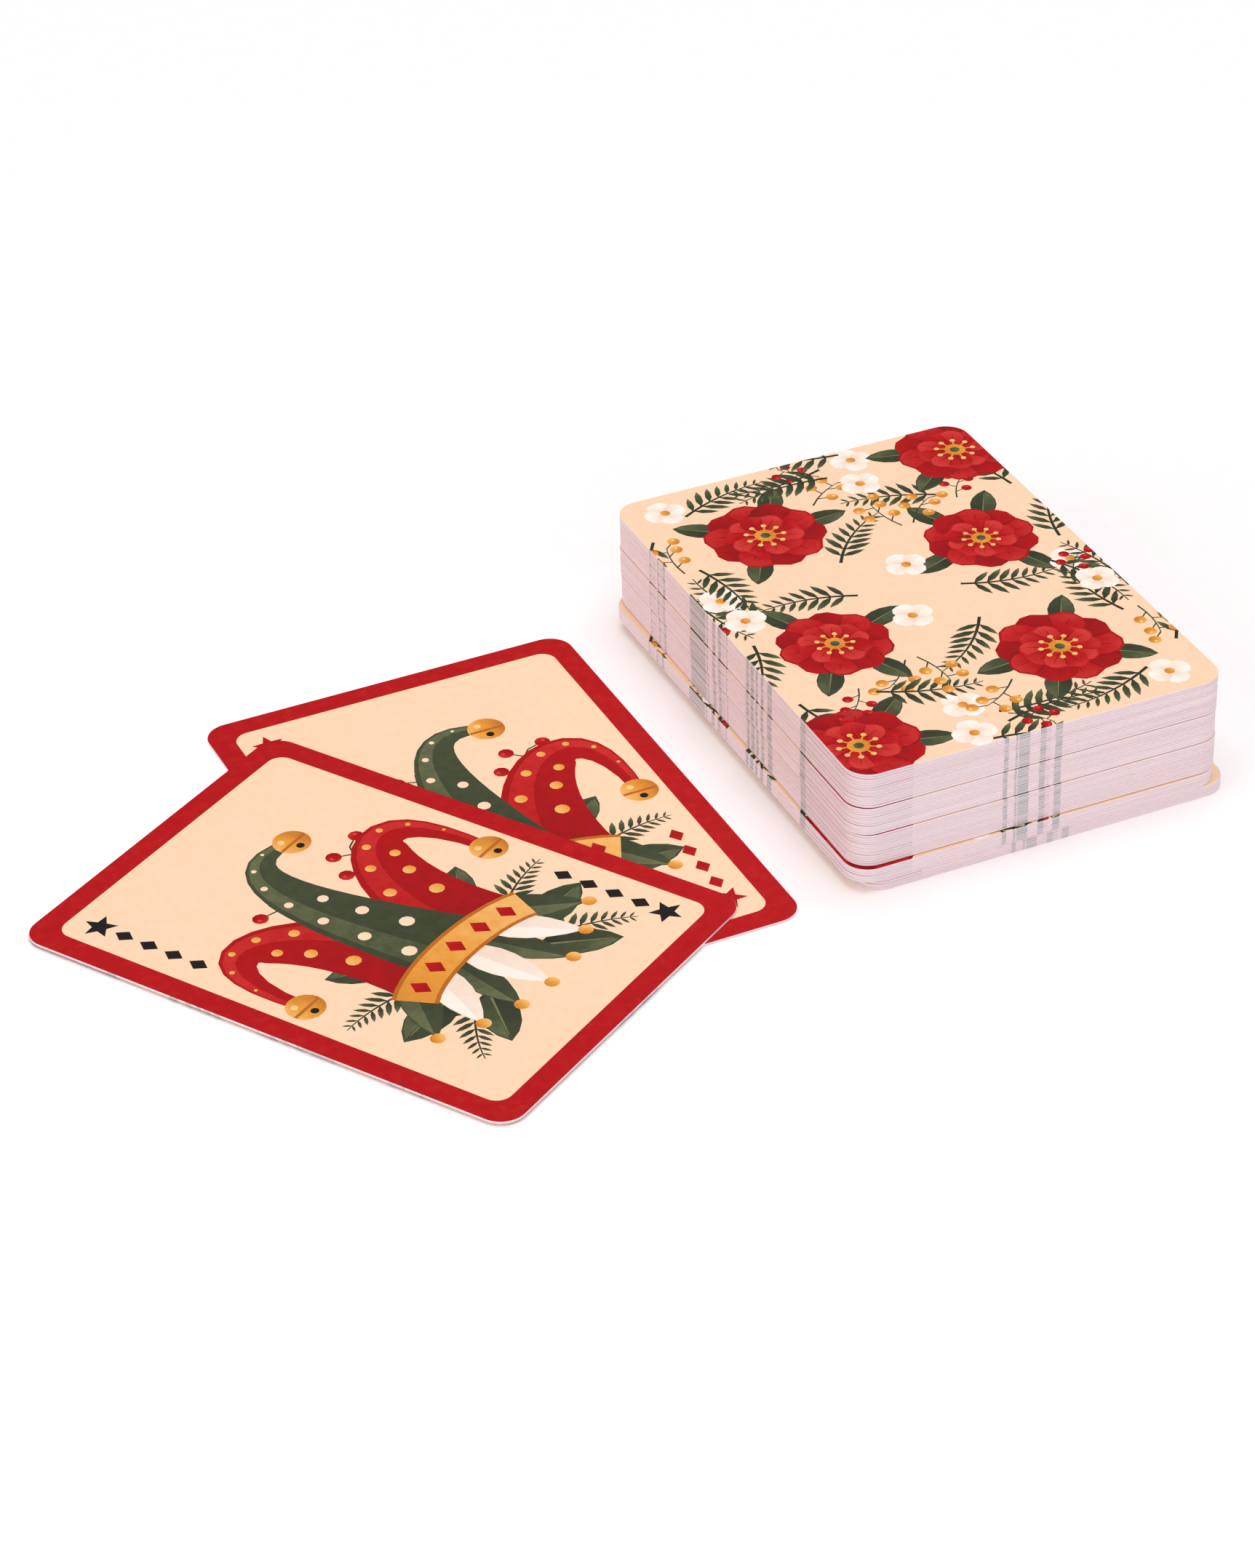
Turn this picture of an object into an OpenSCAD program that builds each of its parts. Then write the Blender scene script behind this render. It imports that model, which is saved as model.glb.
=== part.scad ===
// Deck of playing cards: a squared-up stack of fifty-two cards lying face down,
// with its two jokers lying face up beside it, the black one on top of the red one.
// The origin is the middle of the stack's footprint, on the table. +X runs across the
// stack to its right long side, +Y runs along the stack, away from the dealer.

/* [Card] */
// Width of a card
card_w = 63; // [55:0.5:70]
// Length of a card
card_h = 88; // [80:0.5:100]
// Thickness of the card stock
card_t = 0.38; // [0.25:0.01:0.5]
// Radius of the die-cut corners
corner_r = 4; // [2:0.25:8]

/* [Stack] */
// Air trapped between two cards of one packet
card_air = 0.015; // [0.01:0.005:0.05]
// Air trapped between two packets
packet_air = 0.1; // [0.02:0.01:0.3]
// Cards in the bottom packet, which lies out of line with the rest
bottom_packet = 11; // [6:1:15]
// Cards in the second packet from the bottom
second_packet = 14; // [6:1:15]
// Cards in the third packet from the bottom
third_packet = 12; // [6:1:15]
// How far the bottom packet is pushed to the left
bottom_shift_left = 0.6; // [0:0.05:2]
// How far the bottom packet is pushed towards the dealer
bottom_shift_near = 0.5; // [0:0.05:2]
// Angle by which the bottom packet is turned
bottom_turn = 0.4; // [0:0.05:1.5]
// How far the packets above it lie out of line with each other
packet_slip = 0.06; // [0:0.01:0.6]
// How far a single card lies out of line in its packet
card_slip = 0.03; // [0:0.01:0.3]
// Angle by which a single card is turned in its packet
card_turn = 0.04; // [0:0.01:0.4]
// Number of cards at the very bottom that stick out to the right instead
stray_count = 5; // [0:1:6]
// How far they stick out
stray_shift = 1.1; // [0:0.1:2]

/* [Jokers] */
// Gap between the stack's left long side and the red joker
joker_gap = 9.5; // [5:0.5:30]
// How far the red joker lies towards the dealer
red_joker_near = 2; // [-20:0.5:20]
// Angle by which the red joker is turned
red_joker_turn = 1; // [-4:0.5:4]
// How far the black joker's middle lies to the left of the red joker's
black_joker_left = 25; // [10:0.5:28]
// How far the black joker's middle lies nearer to the dealer than the red joker's
black_joker_near = 17.5; // [0:0.5:30]
// Angle by which the black joker is turned
black_joker_turn = 33; // [0:1:90]

/* [Hidden] */
$fn = 48;

suits = ["spades", "hearts", "clubs", "diamonds"];
ranks = ["ace", "two", "three", "four", "five", "six", "seven",
         "eight", "nine", "ten", "jack", "queen", "king"];

// Cards of the stack, named from the bottom up
stack_names = [for (suit = suits) for (rank = ranks) str(rank, "_of_", suit)];

// First card of each packet, from the bottom
packet_starts = [0, bottom_packet, bottom_packet + second_packet,
                 bottom_packet + second_packet + third_packet];

// Golden angle in degrees, which spreads the cards' slips evenly over all directions
golden_angle = 137.508;

// Number of the packet that a card belongs to
function packet_of(i) = len([for (start = packet_starts) if (start <= i) 1]) - 1;

// Height of a card's underside above the table
function card_z(i) = i * (card_t + card_air) + packet_of(i) * (packet_air - card_air);

function is_stray(i) = i < stray_count;

// Shift of a packet: the bottom one by its own sizes, the others by a small slip
function packet_shift(p) = p == 0
    ? [-bottom_shift_left, -bottom_shift_near]
    : packet_slip * [sin(p * golden_angle), cos(p * golden_angle)];

function card_shift(i) = packet_shift(packet_of(i))
    + card_slip * [sin(i * golden_angle), cos(2 * i * golden_angle)]
    + [is_stray(i) ? stray_shift + bottom_shift_left : 0, 0];

function card_angle(i) = (packet_of(i) == 0 ? bottom_turn : 0)
    + card_turn * sin(3 * i * golden_angle);

// One card around its own middle, lying on z = 0
module card() {
    straight_w = card_w - 2 * corner_r;
    straight_h = card_h - 2 * corner_r;
    linear_extrude(card_t) union() {
        square([straight_w, card_h], center = true);
        square([card_w, straight_h], center = true);
        for (side = [-1, 1], end = [-1, 1])
            translate([side * straight_w / 2, end * straight_h / 2]) circle(corner_r);
    }
}

// A card of the stack, counted from the bottom
module stack_card(i) {
    shift = card_shift(i);
    color("antiquewhite")
        translate([shift[0], shift[1], card_z(i)]) rotate(card_angle(i)) card();
}

// Moves its children to the red joker's place on the table
module at_red_joker() {
    translate([-card_w - joker_gap, -red_joker_near, 0]) children();
}

module red_joker() {
    color("firebrick") at_red_joker() rotate(red_joker_turn) card();
}

// The black joker lies flat on the red one and overhangs its left long side
module black_joker() {
    color("bisque") at_red_joker()
        translate([-black_joker_left, -black_joker_near, card_t + card_air])
            rotate(black_joker_turn) card();
}

for (i = [0 : len(stack_names) - 1])
    stack_card(i);
red_joker();
black_joker();
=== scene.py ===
# Deck of playing cards: fifty-two cards stacked face down, two jokers lying face up beside them.
import math
from collections import namedtuple

import bmesh
import bpy
from mathutils import Matrix, Vector
from mathutils.geometry import delaunay_2d_cdt, interpolate_bezier


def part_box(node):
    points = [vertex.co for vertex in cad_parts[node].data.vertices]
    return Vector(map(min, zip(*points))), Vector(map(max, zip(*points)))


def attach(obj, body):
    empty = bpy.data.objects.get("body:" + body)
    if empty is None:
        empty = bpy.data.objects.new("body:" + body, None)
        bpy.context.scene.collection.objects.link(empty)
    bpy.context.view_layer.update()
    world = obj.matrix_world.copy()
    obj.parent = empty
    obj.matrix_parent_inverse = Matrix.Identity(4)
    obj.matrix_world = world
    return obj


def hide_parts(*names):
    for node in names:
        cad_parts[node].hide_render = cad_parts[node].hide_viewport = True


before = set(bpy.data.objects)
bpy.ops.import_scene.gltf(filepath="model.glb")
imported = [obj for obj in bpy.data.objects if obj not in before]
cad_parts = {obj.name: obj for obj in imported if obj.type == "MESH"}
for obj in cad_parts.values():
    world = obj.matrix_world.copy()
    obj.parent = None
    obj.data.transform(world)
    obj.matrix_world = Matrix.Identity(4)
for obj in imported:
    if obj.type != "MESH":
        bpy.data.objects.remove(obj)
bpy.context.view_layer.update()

bl_info = {
    "name": "Playing Card Deck",
    "version": (1, 0, 0),
    "blender": (4, 5, 0),
    "location": "3D View > Sidebar > Cards",
    "description": "Builds a deck of printed playing cards, its jokers and a studio stage",
    "category": "Add Mesh",
}

# Drawings of the print are in millimetres, Blender's objects in metres
MM = 0.001

SUITS = ("spades", "hearts", "clubs", "diamonds")
RANKS = ("ace", "two", "three", "four", "five", "six", "seven",
         "eight", "nine", "ten", "jack", "queen", "king")
COURT = RANKS[-3:]
STACK = [(rank, suit) for suit in SUITS for rank in RANKS]

# Inks of the print, in the order of a card's material slots; the cut edge comes last
INKS = ("cream", "red", "green", "gold", "white", "black")
CREAM, RED, GREEN, GOLD, WHITE, BLACK = range(len(INKS))
CUT_EDGE = len(INKS)

# How much of each ink shows where it runs off the card's edge, and the tone of a plain ground
BLEED = (0, 0.16, 1, 0.2, 0, 1)
GROUND_TONE = 0.5

Place = namedtuple("Place", "middle turn width length thickness corner")
Shape = namedtuple("Shape", "outline ink start reach tones")


def linear(colour):
    """Linear RGB of an sRGB hex colour."""
    channels = [int(colour[i:i + 2], 16) / 255 for i in (1, 3, 5)]
    return [c / 12.92 if c <= 0.04045 else ((c + 0.055) / 1.055) ** 2.4 for c in channels]


def measure(node):
    """Place and sizes of a card's solid: the middle of its underside, its turn, its outline."""
    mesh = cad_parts[node].data
    low, high = (Vector(corner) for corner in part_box(node))
    long_side = max((p for p in mesh.polygons if abs(p.normal.z) < 0.1), key=lambda p: p.area)
    turn = math.atan2(long_side.normal.y, long_side.normal.x)
    turn = (turn + math.pi / 2) % math.pi - math.pi / 2
    upright = Matrix.Rotation(-turn, 3, "Z")
    corners = [upright @ v.co for v in mesh.vertices]
    straight = [corners[i].y for i in long_side.vertices]
    width = max(c.x for c in corners) - min(c.x for c in corners)
    length = max(c.y for c in corners) - min(c.y for c in corners)
    corner = (length - (max(straight) - min(straight))) / 2
    middle = Vector(((low.x + high.x) / 2, (low.y + high.y) / 2, low.z))
    return Place(middle, turn, width, length, high.z - low.z, corner)


# Outlines of the printed shapes

def curve(start, start_handle, end_handle, end, steps=7):
    """Points along a cubic curve."""
    points = interpolate_bezier(*(Vector(p) for p in (start, start_handle, end_handle, end)), steps)
    return [Vector(p[:2]) for p in points]


def disc(radius, steps=10):
    """Points round a circle."""
    turns = [2 * math.pi * i / steps for i in range(steps)]
    return [Vector((radius * math.cos(a), radius * math.sin(a))) for a in turns]


def mirrored(outline):
    """The outline seen in a mirror that stands on the Y axis."""
    return [Vector((-p[0], p[1])) for p in outline]


def sides(path, widths):
    """Left and right edges of a stroke along a path, with a width at each point."""
    left, right = [], []
    last = len(path) - 1
    for i, point in enumerate(path):
        ahead = path[min(i + 1, last)] - path[max(i - 1, 0)]
        out = ahead.orthogonal().normalized() * widths[i] / 2
        left.append(point + out)
        right.append(point - out)
    return left, right


def stroke(path, start_width, end_width):
    """Outline of a tapered stroke along a path."""
    last = len(path) - 1
    widths = [start_width + (end_width - start_width) * i / last for i in range(last + 1)]
    left, right = sides([Vector(p) for p in path], widths)
    return left + right[::-1]


def star(radius, waist, points=5):
    """Points of a star whose inner corners lie on a smaller circle."""
    outline = []
    for i in range(2 * points):
        reach = radius if i % 2 == 0 else waist
        turn = math.pi * (i / points + 0.5)
        outline.append(Vector((reach * math.cos(turn), reach * math.sin(turn))))
    return outline


def rounded_rectangle(width, length, corner):
    """Points round a rectangle with round corners."""
    bm = bmesh.new()
    bmesh.ops.create_grid(bm, x_segments=1, y_segments=1, size=0.5)
    bmesh.ops.scale(bm, vec=(width, length, 1), verts=bm.verts)
    bmesh.ops.bevel(bm, geom=list(bm.verts), offset=corner, offset_type="OFFSET",
                    affect="VERTICES", segments=10, profile=0.5, material=-1)
    bm.faces.ensure_lookup_table()
    outline = [v.co.xy.copy() for v in bm.faces[0].verts]
    bm.free()
    return outline


def ring_area(outline):
    """Area inside an outline, negative where it runs clockwise."""
    return sum(a.cross(b) for a, b in zip(outline, outline[1:] + outline[:1])) / 2


class Artwork:
    """Printed shapes in painter's order, in millimetres about the card's middle."""

    def __init__(self, shapes=None, place=None):
        self.shapes = [] if shapes is None else shapes
        self.place = Matrix() if place is None else place

    def at(self, x, y, turn=0, size=1):
        """The same artwork, drawn on from another place."""
        step = Matrix.Rotation(math.radians(turn), 4, "Z") @ Matrix.Scale(size, 4)
        return Artwork(self.shapes, self.place @ Matrix.Translation((x, y, 0)) @ step)

    def add(self, outline, ink, *tones):
        """Adds a filled outline; its tone runs from its first point to the one farthest from it."""
        points = [(self.place @ Vector((p[0], p[1], 0))).xy for p in outline]
        start = points[0]
        reach = max((p - start for p in points), key=lambda p: p.length)
        if ring_area(points) < 0:
            points.reverse()
        self.shapes.append(Shape(points, ink, start, reach, tones))

    def add_halves(self, half, ink, shade, light):
        """Adds a shape of two mirrored halves in a shade of tones, with a lighter pass on one half."""
        middle = sum(half, Vector((0, 0))) / len(half)
        self.add(half + mirrored(half[1:-1])[::-1], ink, *shade)
        self.add([p.lerp(middle, 0.12) for p in half], ink, *light)


# Motifs of the back's print

def draw_leaf(art, length, width):
    """A pointed leaf with one lit half and a pale midrib."""
    half = curve((0, 0), (width * 0.7, length * 0.2), (width * 0.6, length * 0.75), (0, length), 7)
    art.add_halves(half, GREEN, (0.05, 0.4), (0.3, 0.7))
    art.add(stroke([(0, length * 0.02), (0, length * 0.88)], width * 0.07, width * 0.02), GREEN, 0.9)


def draw_blossom(art, radius):
    """A double blossom: two rows of notched petals round a gold centre with stamens."""
    for size, shift, dark in ((1, 0, 0), (0.64, 36, 0.22)):
        reach = radius * size
        half = curve((0, reach * 0.1), (reach * 0.78, reach * 0.2), (reach * 0.62, reach * 1.14),
                     (0, reach * 0.88), 8)
        for i in range(5):
            petal = art.at(0, 0, 72 * i + shift)
            petal.add_halves(half, RED, (0.05 + dark, 0.5 + dark), (0.2 + dark, 0.75 + dark))
            for lean in (-0.3, 0, 0.3):
                vein = [(lean * reach * 0.3, reach * 0.3), (lean * reach, reach * (0.78 - abs(lean) / 4))]
                petal.add(stroke(vein, reach * 0.04, reach * 0.01), RED, 0.12)
    art.add(disc(radius * 0.17, 12), GOLD, 0.2, 0.55)
    for i in range(9):
        stamen = art.at(0, 0, 40 * i)
        stamen.add(stroke([(0, radius * 0.1), (0, radius * 0.28)], radius * 0.03, radius * 0.03), GOLD, 0.4)
        stamen.at(0, radius * 0.29).add(disc(radius * 0.045, 7), GOLD, 0.7, 0.95)
    art.add(disc(radius * 0.08, 8), GREEN, 0.4, 0.7)


def draw_frond(art, length, bend, pairs=8):
    """A fern frond: a bent stem with pairs of leaflets that shorten towards its tip."""
    stem = curve((0, 0), (0, length * 0.4), (bend * 0.4, length * 0.75), (bend, length), pairs + 2)
    art.add(stroke(stem, length * 0.035, length * 0.012), GREEN, 0.05, 0.4)
    for i in range(1, pairs + 1):
        ahead = stem[i + 1] - stem[i - 1]
        heading = math.degrees(math.atan2(ahead.y, ahead.x)) - 90
        size = length * (0.36 - 0.25 * i / pairs) * min(1, 0.55 + 0.25 * i)
        for side in (-1, 1):
            leaflet = art.at(*stem[i], heading + side * 52)
            outline = [(0, 0), (size * 0.13, size * 0.35), (size * 0.11, size * 0.7), (0, size),
                       (-size * 0.11, size * 0.7), (-size * 0.13, size * 0.35)]
            leaflet.add(outline, GREEN, 0.05, 0.55 if side < 0 else 0.8)


def draw_sprig(art, length, berry, ink):
    """A bent twig with round berries on short stalks."""
    twig = curve((0, 0), (0, length * 0.5), (length * 0.15, length * 0.8), (length * 0.25, length), 6)
    art.add(stroke(twig, length * 0.04, length * 0.02), GREEN, 0.2, 0.5)
    for i, point in enumerate(twig[1:]):
        side = 1 if i % 2 else -1
        stalk = art.at(*point, side * 60)
        stalk.add(stroke([(0, 0), (0, berry * 2)], berry * 0.25, berry * 0.2), GREEN, 0.3)
        fruit = stalk.at(0, berry * 2.4)
        fruit.add(disc(berry), ink, 0.15, 0.75)
        fruit.at(-berry * 0.25, berry * 0.3).add(disc(berry * 0.28, 6), ink, 1)


def draw_small_flower(art, radius):
    """A white flower with four round petals and a gold eye."""
    half = curve((0, 0), (radius * 0.9, radius * 0.15), (radius * 0.55, radius * 1.1), (0, radius), 6)
    for turn in range(0, 360, 90):
        art.at(0, 0, turn).add_halves(half, WHITE, (0.1, 0.75), (0.3, 1))
    art.add(disc(radius * 0.24, 8), GOLD, 0.2, 0.7)


def draw_back(settings):
    """The back's print: a two-way garland of blossoms, fronds, berries and small flowers."""
    art = Artwork()
    blossom = settings.blossom_radius / MM
    frond = settings.frond_length / MM
    for end in (0, 180):
        half = art.at(0, 0, end)
        for x, y, turn, bend in ((-30, 31, 150, 5), (-31.5, 14, 178, -4), (-29, -4, 172, 5),
                                 (-30, -22, 188, -5), (-9, -43, -95, 4), (-4, -37, -100, -4),
                                 (-6, 12, -30, 5), (-24, 2, 35, 5), (4, 40, 110, 5), (18, 24, 60, -4),
                                 (-22, 36, -60, 4), (8, -2, -115, -5), (27, -20, 20, 4)):
            draw_frond(half.at(x, y, turn), frond, bend)
        for x, y, turn, scale in ((-13, 25, 20, 1), (17.5, 9, 75, 0.92), (-27, -36, 0, 1)):
            flower = half.at(x, y, turn)
            for heading in (36, 130, 255, 310):
                draw_leaf(flower.at(0, 0, heading).at(0, blossom * 0.62), blossom * 0.82, blossom * 0.42)
            draw_blossom(flower, blossom * scale)
        for x, y, turn in ((-2, 30, -40), (-29.5, 20, 10), (-10, -18, 150), (8, 18, 25)):
            draw_sprig(half.at(x, y, turn), frond * 0.5, blossom * 0.1, GOLD)
        for x, y, turn in ((-25, 8, 160), (3, 38, 60), (20, 22, -20)):
            draw_sprig(half.at(x, y, turn), frond * 0.42, blossom * 0.085, RED)
        for x, y, turn in ((3, 7, 20), (-24.5, 38.5, 10), (-28, 10, 35), (10, 40.5, 0), (-8, -33, 25),
                           (27, -3, 15)):
            draw_small_flower(half.at(x, y, turn), blossom * 0.34)
    return art.shapes


# Faces of the suit cards

def heart():
    """A heart one millimetre high, from its tip."""
    half = curve((0, -0.5), (0.12, -0.28), (0.5, -0.05), (0.5, 0.2), 6)
    half += curve((0.5, 0.2), (0.5, 0.52), (0.08, 0.56), (0, 0.24), 7)[1:]
    return half + mirrored(half[1:-1])[::-1]


def draw_pip(art, suit):
    """The sign of a suit, one millimetre high."""
    stem = [(0, 0.05), (0.2, -0.5), (-0.2, -0.5)]
    if suit == "hearts":
        art.add(heart(), RED, 0.3, 0.5)
    elif suit == "diamonds":
        art.add([(0, -0.5), (0.38, 0), (0, 0.5), (-0.38, 0)], RED, 0.3, 0.5)
    elif suit == "spades":
        art.at(0, 0.06, 180, 0.9).add(heart(), BLACK, 0.3, 0.5)
        art.add(stem, BLACK, 0.4)
    else:
        for x, y, radius in ((0, 0.25, 0.24), (-0.26, -0.08, 0.24), (0.26, -0.08, 0.24), (0, 0, 0.13)):
            art.at(x, y).add(disc(radius, 16), BLACK, 0.4)
        art.add(stem, BLACK, 0.4)


# Strokes of each rank's index on a field four wide and six high
SIX = [(3.7, 5.4), (3, 6), (1, 6), (0, 4.8), (0, 1), (1, 0), (3, 0), (4, 1), (4, 2.5), (3, 3.4),
       (1, 3.4), (0, 2.4)]
INDEX = {
    "ace": [[(0, 0), (2, 6), (4, 0)], [(0.8, 2), (3.2, 2)]],
    "two": [[(0, 5), (1, 6), (3, 6), (4, 5), (4, 4), (0, 0), (4, 0)]],
    "three": [[(0, 6), (4, 6), (1.8, 3.6), (3, 3.6), (4, 2.6), (4, 1), (3, 0), (1, 0), (0, 1)]],
    "four": [[(3, 0), (3, 6), (0, 2), (4, 2)]],
    "five": [[(4, 6), (0.4, 6), (0.2, 3.4), (3, 3.6), (4, 2.6), (4, 1), (3, 0), (1, 0), (0, 0.8)]],
    "six": [SIX],
    "seven": [[(0, 6), (4, 6), (1.4, 0)]],
    "eight": [[(1, 3.2), (0.2, 4.2), (0.2, 5.2), (1, 6), (3, 6), (3.8, 5.2), (3.8, 4.2), (3, 3.2), (1, 3.2)],
              [(1, 3.2), (0, 2.2), (0, 1), (1, 0), (3, 0), (4, 1), (4, 2.2), (3, 3.2)]],
    "nine": [[(4 - x, 6 - y) for x, y in SIX]],
    "ten": [[(0, 0), (0, 6)],
            [(1.8, 1), (1.8, 5), (2.5, 6), (3.3, 6), (4, 5), (4, 1), (3.3, 0), (2.5, 0), (1.8, 1)]],
    "jack": [[(3, 6), (3, 1), (2, 0), (1, 0), (0, 1)]],
    "queen": [[(1, 0), (0, 1), (0, 5), (1, 6), (3, 6), (4, 5), (4, 1), (3, 0), (1, 0)],
              [(2.4, 1.8), (4.2, -0.6)]],
    "king": [[(0, 0), (0, 6)], [(4, 6), (0, 2.4)], [(1.5, 3.8), (4, 0)]],
}


def pip_places(rank):
    """Places of a number card's pips, in millimetres."""
    count = RANKS.index(rank) + 1
    middle = {1: [0], 2: [27, -27], 3: [27, 0, -27], 5: [0], 7: [13.5], 8: [13.5, -13.5], 9: [0],
              10: [18, -18]}
    rows = {4: 2, 5: 2, 6: 3, 7: 3, 8: 3, 9: 4, 10: 4}.get(count, 0)
    outer = [(x, 27 - 54 * row / (rows - 1)) for row in range(rows) for x in (-13, 13)]
    return [(0, y) for y in middle.get(count, [])] + outer


def draw_crown(art, points):
    """A crown with a jewelled band and a ball on each point."""
    rim = []
    for i in range(points):
        x = 12 * (2 * i / (points - 1) - 1)
        rim += [(x * 1.25, 11), (x + 12 / (points - 1), 4)]
    art.add([(-11, 0)] + rim[:-1] + [(11, 0)], GOLD, 0.3, 0.75)
    for x, y in rim[::2]:
        art.at(x, y).add(disc(1.4), RED, 0.3, 0.7)
    art.add([(-11.5, -4), (11.5, -4), (11.5, 0.3), (-11.5, 0.3)], GOLD, 0.15, 0.5)
    for x in (-7.5, 0, 7.5):
        art.at(x, -2).add([(0, -1.3), (1.8, 0), (0, 1.3), (-1.8, 0)], GREEN, 0.2, 0.6)


def draw_suit_face(rank, suit, settings):
    """The face of a suit card: its indices, and its pips or a pair of crowns."""
    art = Artwork()
    ink = RED if suit in ("hearts", "diamonds") else BLACK
    height = settings.index_height / MM
    court = rank in COURT
    if court:
        panels = ((40, 64, GOLD, 0.3), (38.4, 62.4, CREAM, 0.6), (38, 6, ink, 0.35))
        for width, length, panel_ink, tone in panels:
            art.add(rounded_rectangle(width, length, 0.5), panel_ink, tone)
        for x in range(-16, 17, 8):
            art.at(x, 0).add([(0, -2.2), (2.6, 0), (0, 2.2), (-2.6, 0)], GOLD, 0.4, 0.8)
    for end in (0, 180):
        half = art.at(0, 0, end)
        mark = half.at(-28, 34, 0, height / 6)
        for path in INDEX[rank]:
            for a, b in zip(path, path[1:]):
                run = (Vector(b) - Vector(a)).normalized() * 0.3
                mark.add(stroke([Vector(a) - run, Vector(b) + run], 0.95, 0.95), ink, 0.4)
        draw_pip(half.at(-26.3, 29.5, 0, height * 0.85), suit)
        if court:
            draw_crown(half.at(0, 9.5), 3 + COURT.index(rank))
            draw_pip(half.at(-13.5, 26.5, 0, 6.5), suit)
    if rank == "ace":
        draw_pip(art.at(0, 0, 0, 24), suit)
    elif not court:
        for x, y in pip_places(rank):
            draw_pip(art.at(x, y, 180 if y < 0 else 0, 10), suit)
    return art.shapes


# Face of the jokers

def draw_horn(art, path, ink, dot_ink):
    """A drooping horn of the cap, lit along its outer side, with rows of dots and a bell on its tip."""
    last = len(path) - 1
    widths = [15.5 * (1 - i / last) ** 1.15 + 2.4 for i in range(last + 1)]
    outer, inner = sides(path, widths)
    if path[-1].x < path[0].x:
        outer, inner = inner, outer
    art.add(outer + inner[::-1], ink, 0.25, 0.45)
    lit = [p.lerp(q, 0.1) for p, q in zip(outer, inner)][1:]
    seam = [p.lerp(q, 0.42) for p, q in zip(outer, inner)][1:]
    art.add(lit + seam[::-1], ink, 0.5, 0.72)
    for i in range(2, last - 1, 2):
        dot = disc(widths[i] * 0.085, 10)
        art.at(*outer[i].lerp(inner[i], 0.26)).add(dot, dot_ink, 0.45, 0.8)
        if i < last / 2:
            art.at(*outer[i + 1].lerp(inner[i + 1], 0.72)).add(dot, dot_ink, 0.45, 0.8)
    bell = art.at(*path[-1])
    bell.add(disc(3.3, 20), GOLD, 0.1, 0.75)
    bell.add(stroke([(-3.1, -0.3), (3.1, -0.3)], 0.6, 0.6), GOLD, 0)
    bell.at(0, -1.8).add(disc(0.75, 8), BLACK, 0.4)
    bell.at(-1.1, 1.4).add(disc(0.65, 8), GOLD, 1)


def draw_cap(art):
    """A jester's cap over a pointed collar, with leaves, fronds and berries behind it."""
    for side in (1, -1):
        for x, y, turn in ((12, -12, -68), (10, -22, -118)):
            draw_frond(art.at(side * x, y, side * turn), 15, side * 3)
        draw_sprig(art.at(side * 7, 6, -side * 12), 15, 1.4, RED)
        for x, y, turn, length in ((10, -18, -92, 15), (7, -22, -140, 14), (9, -6, -50, 12)):
            draw_leaf(art.at(side * x, y, side * turn), length, length * 0.5)
    for i in (-3, 3, -1, 1, -2, 2, 0):
        lobe = art.at(4.3 * i, -12 - 0.45 * (9 - i * i), 180 + 13 * i)
        half = curve((0, -3), (4.6, -3), (4.2, 7), (0, 13.5), 8)
        lobe.add_halves(half, GREEN if i % 2 else WHITE, (0.2, 0.45), (0.45, 0.8))
        lobe.at(0, 13.5).add(disc(1.3, 12), GOLD, 0.2, 0.85)
    for side in (1, -1):
        droop = curve((side * 7, -13), (side * 6, 16), (side * 27, 30), (side * 25.5, 0), 17)
        draw_horn(art, droop, RED, GOLD)
    draw_horn(art, curve((0, -13), (-3, 8), (-7, 36), (10, 29), 17), GREEN, CREAM)
    band = curve((-15.5, -14), (-8, -10), (8, -10), (15.5, -14), 12)
    for rim in sides(band, [6.6] * len(band)):
        art.add(stroke(rim, 1.1, 1.1), GOLD, 0.02)
    art.add(stroke(band, 6.2, 6.2), GOLD, 0.35, 0.75)
    for i in range(1, 11, 2):
        gem = art.at(*band[i].lerp(band[i + 1], 0.5))
        gem.add([(0, -2.1), (1.5, 0), (0, 2.1), (-1.5, 0)], RED, 0.3, 0.6)


def draw_joker_face(ink, settings):
    """The face of a joker: a red border round a cream field with the cap and two index columns."""
    art = Artwork()
    border = settings.joker_border / MM
    place = measure("red_joker")
    across, along = place.width / MM / 2 - border, place.length / MM / 2 - border
    art.add(rounded_rectangle(2 * across, 2 * along, 2.5), CREAM, GROUND_TONE)
    draw_cap(art.at(0, -3, 0, 0.92))
    height = settings.index_height / MM
    column, top, spacing = 4.4 - across, along - 5, 4.6
    lozenge = [(0, -1.7), (1.25, 0), (0, 1.7), (-1.25, 0)]
    for end in (0, 180):
        half = art.at(0, 0, end)
        half.at(column, top).add(star(height * 0.5, height * 0.22), ink, 0.35, 0.5)
        for i in range(1, 5):
            half.at(column, top - spacing * i).add(lozenge, ink, 0.35, 0.5)
    return art.shapes


# Card bodies

def card_outline(place, inset):
    """Outline of a card, drawn in by the inset, in millimetres."""
    width, length = place.width / MM - 2 * inset, place.length / MM - 2 * inset
    return rounded_rectangle(width, length, place.corner / MM - inset)


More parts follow.
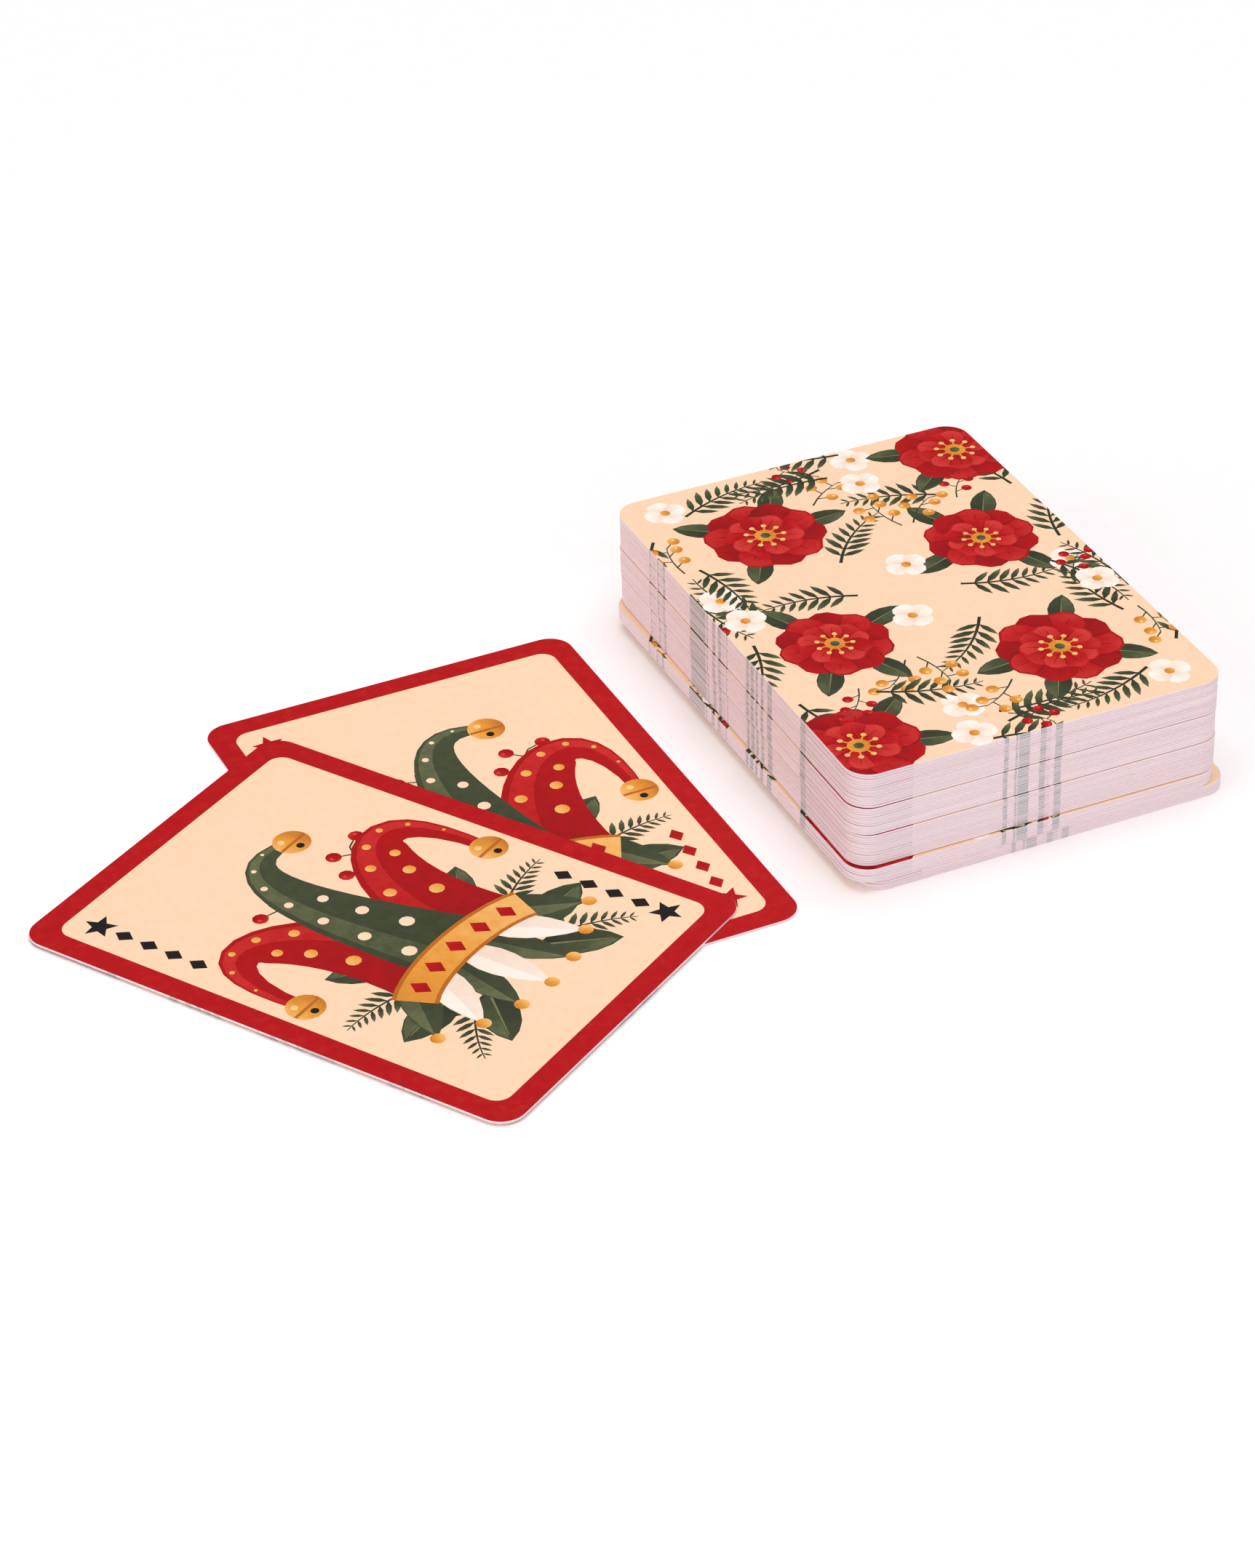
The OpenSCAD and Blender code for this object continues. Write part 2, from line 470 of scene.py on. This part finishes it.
def print_sheet(bm, outline, ground, shapes, height):
    """Fills the outline with the ground's ink and the printed shapes, as one flat sheet."""
    tone = bm.loops.layers.float.get("tone") or bm.loops.layers.float.new("tone")
    layers = [Shape(outline, ground, outline[0], Vector((1, 0)), (GROUND_TONE,))] + shapes
    points, rings = [], []
    for layer in layers:
        rings.append(list(range(len(points), len(points) + len(layer.outline))))
        points += layer.outline
    points, _, faces, _, _, owners = delaunay_2d_cdt(points, [], rings, 1, 1e-5)
    covered = [0] * len(layers)
    for face, owner in zip(faces, owners):
        a, b, c = (points[i] for i in face)
        for i in owner:
            covered[i] += (b - a).cross(c - a) / 2
    for layer, cover in zip(layers, covered):
        if abs(ring_area(layer.outline) - cover) > 0.2:
            raise RuntimeError(f"a {INKS[layer.ink]} shape at {layer.start} doesn't fill its own outline")
    sheet = bmesh.new()
    verts = [sheet.verts.new((*point, height)) for point in points]
    for face, owner in zip(faces, owners):
        if 0 in owner:
            sheet.faces.new([verts[i] for i in face]).material_index = max(owner)
    bmesh.ops.delete(sheet, geom=[v for v in verts if not v.link_faces], context="VERTS")
    # While slots still number the shapes, faces of one shape are joined and hidden cuts go
    bmesh.ops.dissolve_limit(sheet, angle_limit=0.001, verts=sheet.verts, edges=sheet.edges,
                             use_dissolve_boundaries=False, delimit={"MATERIAL"})
    bmesh.ops.triangulate(sheet, faces=sheet.faces)
    verts = {v: bm.verts.new(v.co) for v in sheet.verts}
    for face in sheet.faces:
        layer = layers[face.material_index]
        sheet_face = bm.faces.new([verts[v] for v in face.verts])
        sheet_face.material_index = layer.ink
        for loop in sheet_face.loops:
            share = (loop.vert.co.xy - layer.start).dot(layer.reach) / layer.reach.length_squared
            share = min(1, max(0, share))
            loop[tone] = layer.tones[0] + (layer.tones[-1] - layer.tones[0]) * share
    sheet.free()


def drop_rim(bm, place, out, down):
    """Extrudes the sheet's open rim outwards and down, as cut edge into which the rim's ink bleeds."""
    tone = bm.loops.layers.float["tone"]
    rim = [e for e in bm.edges if e.is_boundary]
    bleeds = {}
    for edge in rim:
        ink = edge.link_faces[0].material_index
        bleeds[edge] = edge.link_loops[0][tone] if ink == CUT_EDGE else BLEED[ink]
    made = bmesh.ops.extrude_edge_only(bm, edges=rim)["geom"]
    core = Vector((place.width, place.length)) / (2 * MM) - Vector((1, 1)) * place.corner / MM
    for vert in (g for g in made if isinstance(g, bmesh.types.BMVert)):
        near = Vector((max(-core.x, min(core.x, vert.co.x)), max(-core.y, min(core.y, vert.co.y))))
        away = (vert.co.xy - near).normalized() * out
        vert.co += Vector((away.x, away.y, -down))
    for face in (g for g in made if isinstance(g, bmesh.types.BMFace)):
        bleed = next(bleeds[e] for e in face.edges if e in bleeds)
        face.material_index = CUT_EDGE
        face.smooth = True
        for loop in face.loops:
            loop[tone] = bleed


def card_blank(place, settings):
    """A card without its face: the printed back, its rounded rim and the cut edge, in millimetres."""
    bm = bmesh.new()
    rim = settings.rim_radius / MM
    thick = place.thickness / MM
    print_sheet(bm, card_outline(place, rim), CREAM, draw_back(settings), thick)
    drop_rim(bm, place, rim, rim)
    drop_rim(bm, place, 0, thick - 2 * rim)
    drop_rim(bm, place, -rim, rim)
    blank = bpy.data.meshes.new("card_blank")
    bm.to_mesh(blank)
    bm.free()
    return blank


def make_card(node, blank, ground, face_shapes, face_up, settings):
    """Closes a blank with its printed face, lays it in its solid's place and has it stand for the solid."""
    place = measure(node)
    rim = settings.rim_radius / MM
    bm = bmesh.new()
    bm.from_mesh(blank)
    seam = [v for v in bm.verts if v.is_boundary]
    flipped = [Shape(mirrored(s.outline)[::-1], s.ink, Vector((-s.start.x, s.start.y)),
                     Vector((-s.reach.x, s.reach.y)), s.tones) for s in face_shapes]
    kept = set(bm.verts)
    print_sheet(bm, card_outline(place, rim), ground, flipped, 0)
    seam += [v for v in bm.verts if v not in kept and v.is_boundary]
    bmesh.ops.remove_doubles(bm, verts=seam, dist=0.001)
    bmesh.ops.recalc_face_normals(bm, faces=bm.faces)
    if face_up:
        middle = Vector((0, 0, place.thickness / MM / 2))
        turn_over = Matrix.Rotation(math.pi, 3, "Y")
        bmesh.ops.rotate(bm, cent=middle, matrix=turn_over, verts=bm.verts)
    bmesh.ops.scale(bm, vec=(MM, MM, MM), verts=bm.verts)
    bmesh.ops.rotate(bm, cent=(0, 0, 0), matrix=Matrix.Rotation(place.turn, 3, "Z"), verts=bm.verts)
    bmesh.ops.translate(bm, vec=place.middle, verts=bm.verts)
    mesh = bpy.data.meshes.new(node + "_card")
    bm.to_mesh(mesh)
    bm.free()
    for material in card_materials(settings):
        mesh.materials.append(material)
    card = bpy.data.objects.new(node + "_card", mesh)
    bpy.context.scene.collection.objects.link(card)
    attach(card, node)
    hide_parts(node)
    return card


# Materials

def add_node(tree, kind, inputs=None, **settings):
    """Adds a node with its settings; an input is a value or another node's output."""
    node = tree.nodes.new(kind)
    for name, value in settings.items():
        setattr(node, name, value)
    for key, value in (inputs or {}).items():
        if isinstance(value, bpy.types.NodeSocket):
            tree.links.new(value, node.inputs[key])
        else:
            node.inputs[key].default_value = value
    return node


def printed_ink(name, colours, roughness):
    """Offset ink on coated board, under a satin varnish.

    The tone drawn into each shape runs through the ink's three colours. A painted look comes from
    soft mottling about 1.6 mm across, and the varnish lies over fine paper tooth, drawn at 0.35 mm
    so that it shows.
    """
    material = bpy.data.materials.new(name)
    material.use_nodes = True
    tree = material.node_tree
    shader = tree.nodes["Principled BSDF"]
    place = add_node(tree, "ShaderNodeTexCoord").outputs["Object"]
    tone = add_node(tree, "ShaderNodeAttribute", attribute_name="tone").outputs["Fac"]
    mottle = add_node(tree, "ShaderNodeTexNoise",
                      {"Vector": place, "Scale": 1 / (1.6 * MM), "Detail": 3.0, "Roughness": 0.6})
    tooth = add_node(tree, "ShaderNodeTexNoise",
                     {"Vector": place, "Scale": 1 / (0.35 * MM), "Detail": 2.0})
    wash = add_node(tree, "ShaderNodeMath", {0: mottle.outputs["Fac"], 1: 0.36, 2: -0.18},
                    operation="MULTIPLY_ADD")
    painted = add_node(tree, "ShaderNodeMath", {0: tone, 1: wash.outputs[0]}, operation="ADD", use_clamp=True)
    ramp = add_node(tree, "ShaderNodeValToRGB", {"Fac": painted.outputs[0]})
    stops = ramp.color_ramp.elements
    stops.new(0.5)
    for stop, colour in zip(stops, colours):
        stop.color = (*colour, 1)
    gloss = add_node(tree, "ShaderNodeMapRange",
                     {"Value": tooth.outputs["Fac"], "To Min": roughness - 0.06, "To Max": roughness + 0.06})
    bump = add_node(tree, "ShaderNodeBump",
                    {"Height": tooth.outputs["Fac"], "Strength": 0.06, "Distance": 0.1 * MM})
    tree.links.new(ramp.outputs["Color"], shader.inputs["Base Color"])
    tree.links.new(gloss.outputs["Result"], shader.inputs["Roughness"])
    tree.links.new(bump.outputs["Normal"], shader.inputs["Normal"])
    shader.inputs["IOR"].default_value = 1.5
    shader.inputs["Specular IOR Level"].default_value = 0.13
    return material


def cut_board(name):
    """Raw edge of the die-cut board: matt, with pressed fibres that run along the card.

    Fibres are drawn 0.9 mm long and 0.12 mm thick, and each card's edge is a little lighter or
    darker than its neighbours.
    """
    material = bpy.data.materials.new(name)
    material.use_nodes = True
    tree = material.node_tree
    shader = tree.nodes["Principled BSDF"]
    place = add_node(tree, "ShaderNodeTexCoord").outputs["Object"]
    stretched = add_node(tree, "ShaderNodeMapping",
                         {"Vector": place, "Scale": (1 / (0.9 * MM), 1 / (0.9 * MM), 1 / (0.12 * MM))})
    fibres = add_node(tree, "ShaderNodeTexNoise",
                      {"Vector": stretched.outputs["Vector"], "Scale": 1.0, "Detail": 3.0})
    layered = add_node(tree, "ShaderNodeMapping",
                       {"Vector": place, "Scale": (1 / (60 * MM), 1 / (60 * MM), 1 / (0.7 * MM))})
    cards = add_node(tree, "ShaderNodeTexNoise",
                     {"Vector": layered.outputs["Vector"], "Scale": 1.0, "Detail": 1.0})
    mixed = add_node(tree, "ShaderNodeMath",
                     {0: fibres.outputs["Fac"], 1: 0.5, 2: cards.outputs["Fac"]}, operation="MULTIPLY_ADD")
    # The edge's lilac-pink is partly the board's own off-white and partly painted light: the pink cast of
    # light bounced onto the stack's sides
    ramp = add_node(tree, "ShaderNodeValToRGB", {"Fac": mixed.outputs[0]})
    for stop, spot, colour in zip(ramp.color_ramp.elements, (0.45, 1.0), ("#ead8de", "#f4e6ec")):
        stop.position = spot
        stop.color = (*linear(colour), 1)
    tone = add_node(tree, "ShaderNodeAttribute", attribute_name="tone").outputs["Fac"]
    strength = add_node(tree, "ShaderNodeMapRange",
                        {"Value": cards.outputs["Fac"], "From Min": 0.3, "From Max": 0.7,
                         "To Min": 0.2, "To Max": 0.6})
    bleed = add_node(tree, "ShaderNodeMath", {0: tone, 1: strength.outputs["Result"]}, operation="MULTIPLY")
    stained = add_node(tree, "ShaderNodeMix",
                       {0: bleed.outputs[0], 6: ramp.outputs["Color"], 7: (*linear("#93a0a0"), 1)},
                       data_type="RGBA")
    bump = add_node(tree, "ShaderNodeBump",
                    {"Height": fibres.outputs["Fac"], "Strength": 0.25, "Distance": 0.05 * MM})
    tree.links.new(stained.outputs[2], shader.inputs["Base Color"])
    tree.links.new(bump.outputs["Normal"], shader.inputs["Normal"])
    shader.inputs["Roughness"].default_value = 0.85
    shader.inputs["IOR"].default_value = 1.45
    return material


# Colours of each ink, from its shade to its light
TONES = ("shade", "body", "light")
INK_COLOURS = {
    "cream": ("#f0c9a3", "#f7d6b4", "#fce4ca"),
    "red": ("#76060b", "#b2080f", "#d33b36"),
    "green": ("#23291d", "#464e35", "#7d8158"),
    "gold": ("#b5651d", "#e39a3a", "#f7cd86"),
    "white": ("#e8c8b2", "#f8eadb", "#fffaf4"),
    "black": ("#120d0c", "#1d1615", "#3a302d"),
}


def card_materials(settings):
    """The inks in their slots' order, and the cut edge."""
    made = []
    for ink in INKS:
        name = ink + "_ink_on_coated_board"
        colours = [getattr(bpy.context.scene.deck_inks, f"{ink}_{tone}") for tone in TONES]
        made.append(bpy.data.materials.get(name) or printed_ink(name, colours, settings.varnish))
    made.append(bpy.data.materials.get("cut_board_edge") or cut_board("cut_board_edge"))
    return made


# Settings

class CardSettings(bpy.types.PropertyGroup):
    """Sizes of the print and the card's rim."""
    blossom_radius: bpy.props.FloatProperty(
        name="Blossom radius", description="Radius of the large blossoms on the backs",
        default=10.5 * MM, min=4 * MM, max=16 * MM, unit="LENGTH", precision=4)
    frond_length: bpy.props.FloatProperty(
        name="Frond length", description="Length of the fern fronds on the backs",
        default=16 * MM, min=6 * MM, max=30 * MM, unit="LENGTH", precision=4)
    joker_border: bpy.props.FloatProperty(
        name="Joker border", description="Width of the red border on the jokers' faces",
        default=3.9 * MM, min=1 * MM, max=10 * MM, unit="LENGTH", precision=4)
    index_height: bpy.props.FloatProperty(
        name="Index height", description="Height of the signs in the corners of the faces",
        default=5.5 * MM, min=3 * MM, max=12 * MM, unit="LENGTH", precision=4)
    rim_radius: bpy.props.FloatProperty(
        name="Rim", description="How far the die rounds the rim of a card",
        default=0.035 * MM, min=0.02 * MM, max=0.15 * MM, unit="LENGTH", precision=5)
    varnish: bpy.props.FloatProperty(
        name="Varnish roughness", description="Roughness of the varnish over the print",
        default=0.5, min=0.1, max=0.9, subtype="FACTOR")


class InkSettings(bpy.types.PropertyGroup):
    """Colours of the print."""
    __annotations__ = {
        f"{ink}_{tone}": bpy.props.FloatVectorProperty(
            name=f"{ink.title()} {tone}", description=f"Colour of the {tone} of the {ink} ink",
            default=linear(colour), min=0, max=1, size=3, subtype="COLOR")
        for ink, colours in INK_COLOURS.items()
        for tone, colour in zip(TONES, colours)
    }


class StageSettings(bpy.types.PropertyGroup):
    """The camera and the light."""
    azimuth: bpy.props.FloatProperty(
        name="Azimuth", description="Heading of the camera, clockwise from the deck's length",
        default=math.radians(23.23), subtype="ANGLE")
    elevation: bpy.props.FloatProperty(
        name="Elevation", description="How steeply the camera looks down",
        default=math.radians(34.04), subtype="ANGLE")
    roll: bpy.props.FloatProperty(
        name="Roll", description="Tilt of the camera about its line of sight",
        default=math.radians(-1.69), subtype="ANGLE")
    distance: bpy.props.FloatProperty(
        name="Distance", description="Distance from the camera to the point it looks at",
        default=669.9 * MM, min=0.2, unit="LENGTH")
    target: bpy.props.FloatVectorProperty(
        name="Target", description="Point on the table that the camera looks at",
        default=(-49.78 * MM, -1.79 * MM, 0), size=3, subtype="XYZ", unit="LENGTH", precision=4)
    lens: bpy.props.FloatProperty(
        name="Lens", description="Focal length on a 36 mm sensor", default=98.98, min=20, max=300)
    key_power: bpy.props.FloatProperty(
        name="Key light", description="Power of the soft light over the deck",
        default=80, min=0, unit="POWER")
    front_power: bpy.props.FloatProperty(
        name="Front light", description="Power of the soft light in front",
        default=34, min=0, unit="POWER")
    left_power: bpy.props.FloatProperty(
        name="Left light", description="Power of the soft light on the left",
        default=42, min=0, unit="POWER")
    world_strength: bpy.props.FloatProperty(
        name="Room light", description="Strength of the even white light all round", default=0.28, min=0)


# Operators

class DECK_OT_stage(bpy.types.Operator):
    """Adds the pale floor, the soft lights and the camera"""
    bl_idname = "deck.stage"
    bl_label = "Stage"

    def execute(self, context):
        stage = context.scene.deck_stage
        self.add_floor(context)
        self.add_light(context, "key_light", (0.3, 0.2, 3), stage.key_power, 3.6, "#fbfdff")
        self.add_light(context, "front_light", (-0.2, -3.2, 1.8), stage.front_power, 2.8, "#fffafb")
        self.add_light(context, "left_light", (-3.2, -0.6, 1.6), stage.left_power, 2.4, "#ffeae4")
        self.add_camera(context, stage)
        self.add_room(context, stage)
        context.scene.view_settings.view_transform = "Standard"
        return {"FINISHED"}

    def add_room(self, context, stage):
        """A white room behind the floor, which lights the cards only dimly."""
        world = bpy.data.worlds.new("white_room")
        world.use_nodes = True
        tree = world.node_tree
        seen = add_node(tree, "ShaderNodeLightPath").outputs["Is Camera Ray"]
        strength = add_node(tree, "ShaderNodeMapRange",
                            {"Value": seen, "To Min": stage.world_strength, "To Max": 1.15})
        tree.nodes["Background"].inputs["Color"].default_value = (*linear("#fff2ef"), 1)
        tree.links.new(strength.outputs["Result"], tree.nodes["Background"].inputs["Strength"])
        context.scene.world = world

    def add_floor(self, context):
        """A wide sheet of matt white paper, clouded faintly by its pulp, 4 mm from cloud to cloud."""
        bm = bmesh.new()
        bmesh.ops.create_grid(bm, x_segments=1, y_segments=1, size=1.3)
        mesh = bpy.data.meshes.new("floor")
        bm.to_mesh(mesh)
        bm.free()
        material = bpy.data.materials.new("white_background_paper")
        material.use_nodes = True
        tree = material.node_tree
        shader = tree.nodes["Principled BSDF"]
        place = add_node(tree, "ShaderNodeTexCoord").outputs["Object"]
        grain = add_node(tree, "ShaderNodeTexNoise", {"Vector": place, "Scale": 1 / (4 * MM), "Detail": 2.0})
        ramp = add_node(tree, "ShaderNodeValToRGB", {"Fac": grain.outputs["Fac"]})
        for stop, colour in zip(ramp.color_ramp.elements, ("#fdfbfb", "#ffffff")):
            stop.color = (*linear(colour), 1)
        tree.links.new(ramp.outputs["Color"], shader.inputs["Base Color"])
        shader.inputs["Roughness"].default_value = 0.9
        mesh.materials.append(material)
        floor = bpy.data.objects.new("floor", mesh)
        context.scene.collection.objects.link(floor)

    def add_light(self, context, name, place, power, size, colour):
        """A square soft box that faces the deck."""
        light = bpy.data.lights.new(name, "AREA")
        light.energy = power
        light.color = linear(colour)
        light.size = size
        box = bpy.data.objects.new(name, light)
        box.location = place
        aim = Vector((-0.03, 0, 0)) - Vector(place)
        box.rotation_euler = aim.to_track_quat("-Z", "Y").to_euler()
        context.scene.collection.objects.link(box)

    def add_camera(self, context, stage):
        """The camera, on its line of sight to the target."""
        heading = Matrix.Rotation(-stage.azimuth, 4, "Z")
        tilt = Matrix.Rotation(math.pi / 2 - stage.elevation, 4, "X")
        back = Matrix.Translation((0, 0, stage.distance))
        roll = Matrix.Rotation(stage.roll, 4, "Z")
        lens = bpy.data.cameras.new("camera")
        lens.lens = stage.lens
        lens.clip_start = 0.01
        camera = bpy.data.objects.new("camera", lens)
        camera.matrix_world = Matrix.Translation(stage.target) @ heading @ tilt @ back @ roll
        context.scene.collection.objects.link(camera)
        context.scene.camera = camera


class DECK_OT_stack(bpy.types.Operator):
    """Adds the fifty-two suit cards, stacked face down"""
    bl_idname = "deck.stack"
    bl_label = "Stack"

    def execute(self, context):
        settings = context.scene.deck_cards
        blank = card_blank(measure("ace_of_spades"), settings)
        for rank, suit in STACK:
            shapes = draw_suit_face(rank, suit, settings)
            make_card(f"{rank}_of_{suit}", blank, CREAM, shapes, False, settings)
        bpy.data.meshes.remove(blank)
        return {"FINISHED"}


class DECK_OT_jokers(bpy.types.Operator):
    """Adds the two jokers, face up beside the stack"""
    bl_idname = "deck.jokers"
    bl_label = "Jokers"

    def execute(self, context):
        settings = context.scene.deck_cards
        blank = card_blank(measure("red_joker"), settings)
        for node, ink in (("red_joker", RED), ("black_joker", BLACK)):
            make_card(node, blank, RED, draw_joker_face(ink, settings), True, settings)
        bpy.data.meshes.remove(blank)
        return {"FINISHED"}


class DECK_PT_panel(bpy.types.Panel):
    """Lists the deck's settings and operators"""
    bl_label = "Card Deck"
    bl_space_type = "VIEW_3D"
    bl_region_type = "UI"
    bl_category = "Cards"

    def draw(self, context):
        for group in (context.scene.deck_cards, context.scene.deck_inks, context.scene.deck_stage):
            for name in group.__annotations__:
                self.layout.prop(group, name)
        for operator in OPERATORS:
            self.layout.operator(operator.bl_idname)


OPERATORS = (DECK_OT_stage, DECK_OT_stack, DECK_OT_jokers)
CLASSES = (CardSettings, InkSettings, StageSettings, *OPERATORS, DECK_PT_panel)


def register():
    for cls in CLASSES:
        bpy.utils.register_class(cls)
    bpy.types.Scene.deck_cards = bpy.props.PointerProperty(type=CardSettings)
    bpy.types.Scene.deck_inks = bpy.props.PointerProperty(type=InkSettings)
    bpy.types.Scene.deck_stage = bpy.props.PointerProperty(type=StageSettings)


def unregister():
    del bpy.types.Scene.deck_stage
    del bpy.types.Scene.deck_inks
    del bpy.types.Scene.deck_cards
    for cls in reversed(CLASSES):
        bpy.utils.unregister_class(cls)


def main():
    register()
    bpy.ops.deck.stage()
    bpy.ops.deck.stack()
    bpy.ops.deck.jokers()


if __name__ == "__main__":
    main()
